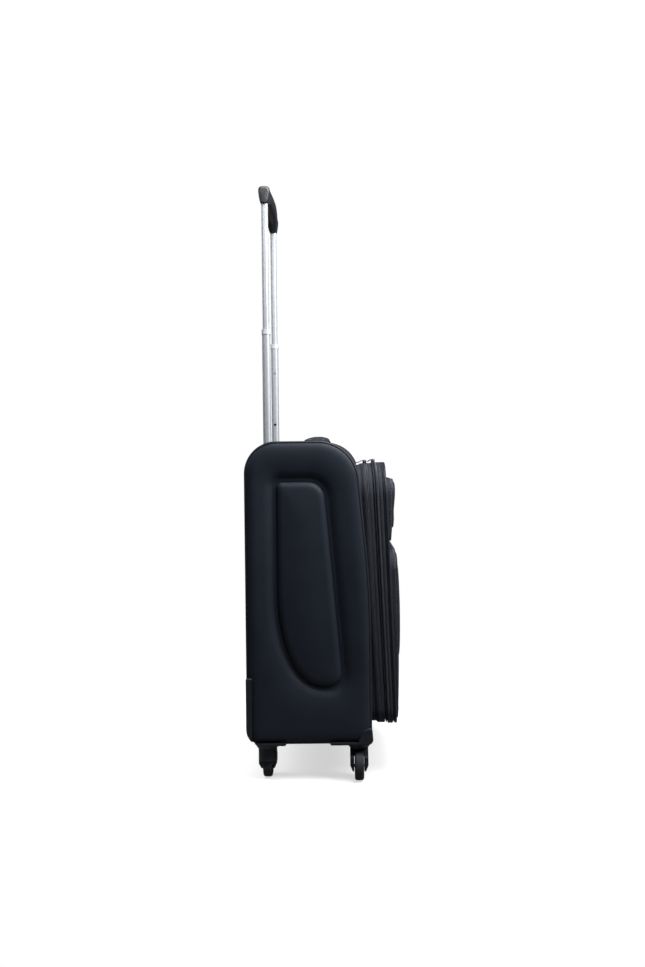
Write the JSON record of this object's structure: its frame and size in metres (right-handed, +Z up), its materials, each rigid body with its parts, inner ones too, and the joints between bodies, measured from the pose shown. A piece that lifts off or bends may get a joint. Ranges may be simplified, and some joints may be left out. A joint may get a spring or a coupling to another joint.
{
  "type": "softside spinner suitcase",
  "caption": "Softside upright suitcase with moulded foam sides, an expanding zipped lid with pockets, a telescoping tow handle and swivelling casters.",
  "frame": {"origin": "on the floor under the middle of the case, with the tow handle extended", "axes": "+Z up; -Y towards the front with the pockets, +Y towards the back with the tow handle; X across the width"},
  "size_m": [0.374, 0.2535, 0.9885],
  "materials": {
    "body_fabric": "smooth laminated fabric over foam, satin",
    "weave": "coarse woven polyester, matt",
    "piping": "satin extruded cord",
    "lining": "thin plain-weave lining",
    "board": "plain board",
    "housing": "semi-gloss moulded",
    "grip": "semi-gloss moulded",
    "tube": "satin anodised",
    "steel": "plated",
    "bush": "grey moulded",
    "zip": "nylon coil on woven tape",
    "slider": "painted black, semi-gloss",
    "wheel": "nylon",
    "tread": "polyurethane tread"
  },
  "bodies": {
    "case": {"top_gusset": "weave", "back_panel": "weave", "bottom_gusset": "weave", "front_frame": "weave", "side_panel_left": "body_fabric", "side_panel_right": "body_fabric", "side_piping": "piping", "lining": "lining", "opening_wire": "steel", "base_board": "board", "handle_tray": "housing", "outer_tubes": "tube", "tube_foot_bracket": "board", "rear_housings": "housing", "front_housings": "housing", "caster_kingpins": "steel", "housing_screws": "steel", "body_zip_tape": "zip", "handle_anchors": "housing"},
    "carry_handle": {"carry_handle": "weave"},
    "lid_ring": {"lid_gusset": "weave", "expansion_gusset": "lining"},
    "lid_front": {"lid_band": "weave", "expansion_zipper": "zip", "lid_panel": "weave", "lid_piping": "piping", "upper_pocket_gusset": "weave", "upper_pocket_panel": "weave", "lower_pocket_gusset": "weave", "lower_pocket_panel": "weave"},
    "main_slider_left": {"main_slider_left": "slider"},
    "main_slider_right": {"main_slider_right": "slider"},
    "expansion_slider": {"expansion_slider": "slider"},
    "upper_pocket_slider": {"upper_pocket_slider": "slider"},
    "lower_pocket_slider": {"lower_pocket_slider": "slider"},
    "middle_stage": {"middle_tubes": "tube", "stage_bushes": "bush"},
    "inner_stage": {"inner_tubes": "tube", "grip_upper": "grip", "grip_lower": "grip", "lock_blocks": "board", "button_spring": "steel"},
    "release": {"release_button": "grip", "release_rods": "steel"},
    "caster_rear_left": {"fork_rear_left": "housing", "axle_rear_left": "steel"},
    "wheel_rear_left": {"hub_rear_left": "wheel", "tyre_rear_left": "tread"},
    "caster_front_left": {"fork_front_left": "housing", "axle_front_left": "steel"},
    "wheel_front_left": {"hub_front_left": "wheel", "tyre_front_left": "tread"},
    "caster_rear_right": {"fork_rear_right": "housing", "axle_rear_right": "steel"},
    "wheel_rear_right": {"hub_rear_right": "wheel", "tyre_rear_right": "tread"},
    "caster_front_right": {"fork_front_right": "housing", "axle_front_right": "steel"},
    "wheel_front_right": {"hub_front_right": "wheel", "tyre_front_right": "tread"}
  },
  "joints": [
    {"name": "handle_lower_stage", "type": "slide", "parent": "case", "child": "middle_stage", "axis": [0, 0, 1], "range_m": [-0.219, 0]},
    {"name": "handle_upper_stage", "type": "slide", "parent": "middle_stage", "child": "inner_stage", "axis": [0, 0, 1], "range_m": [-0.211, 0]},
    {"name": "release_press", "type": "slide", "parent": "inner_stage", "child": "release", "axis": [0, 0, -1], "range_m": [0, 0.004], "stiffness_N_per_m": 600, "springref_m": -0.002, "deforming": ["button_spring"]},
    {"name": "carry_handle_lift", "type": "slide", "parent": "case", "child": "carry_handle", "axis": [0, 0, 1], "range_m": [0, 0.015]},
    {"name": "lid_open", "type": "hinge", "parent": "case", "child": "lid_ring", "pos_m": [0.155, -0.0806, 0.3035], "axis": [0, 0.0484, 0.9988], "range_deg": [0, 95]},
    {"name": "lid_expand", "type": "slide", "parent": "lid_ring", "child": "lid_front", "axis": [0, -1, 0], "range_m": [0, 0.03]},
    {"name": "main_slider_left_run", "type": "slide", "parent": "case", "child": "main_slider_left", "axis": [-1, 0, 0], "range_m": [0, 0.087]},
    {"name": "main_slider_right_run", "type": "slide", "parent": "case", "child": "main_slider_right", "axis": [1, 0, 0], "range_m": [0, 0.087]},
    {"name": "expansion_slider_run", "type": "slide", "parent": "lid_front", "child": "expansion_slider", "axis": [1, 0, 0], "range_m": [-0.025, 0.165]},
    {"name": "upper_pocket_slider_run", "type": "slide", "parent": "lid_front", "child": "upper_pocket_slider", "axis": [0, -0.04, 0.9992], "range_m": [0, 0.05]},
    {"name": "lower_pocket_slider_run", "type": "slide", "parent": "lid_front", "child": "lower_pocket_slider", "axis": [0, 0, 1], "range_m": [0, 0.19]},
    {"name": "swivel_rear_left", "type": "hinge", "parent": "case", "child": "caster_rear_left", "pos_m": [-0.152, 0.094, 0.05], "axis": [0, 0, 1], "continuous": true},
    {"name": "roll_rear_left", "type": "hinge", "parent": "caster_rear_left", "child": "wheel_rear_left", "pos_m": [-0.14, 0.094, 0.023], "axis": [0, 1, 0], "continuous": true},
    {"name": "swivel_front_left", "type": "hinge", "parent": "case", "child": "caster_front_left", "pos_m": [-0.152, -0.056, 0.05], "axis": [0, 0, 1], "continuous": true},
    {"name": "roll_front_left", "type": "hinge", "parent": "caster_front_left", "child": "wheel_front_left", "pos_m": [-0.164, -0.056, 0.023], "axis": [0, 1, 0], "continuous": true},
    {"name": "swivel_rear_right", "type": "hinge", "parent": "case", "child": "caster_rear_right", "pos_m": [0.152, 0.094, 0.05], "axis": [0, 0, 1], "continuous": true},
    {"name": "roll_rear_right", "type": "hinge", "parent": "caster_rear_right", "child": "wheel_rear_right", "pos_m": [0.14, 0.094, 0.023], "axis": [0, 1, 0], "continuous": true},
    {"name": "swivel_front_right", "type": "hinge", "parent": "case", "child": "caster_front_right", "pos_m": [0.152, -0.056, 0.05], "axis": [0, 0, 1], "continuous": true},
    {"name": "roll_front_right", "type": "hinge", "parent": "caster_front_right", "child": "wheel_front_right", "pos_m": [0.164, -0.056, 0.023], "axis": [0, 1, 0], "continuous": true}
  ]
}
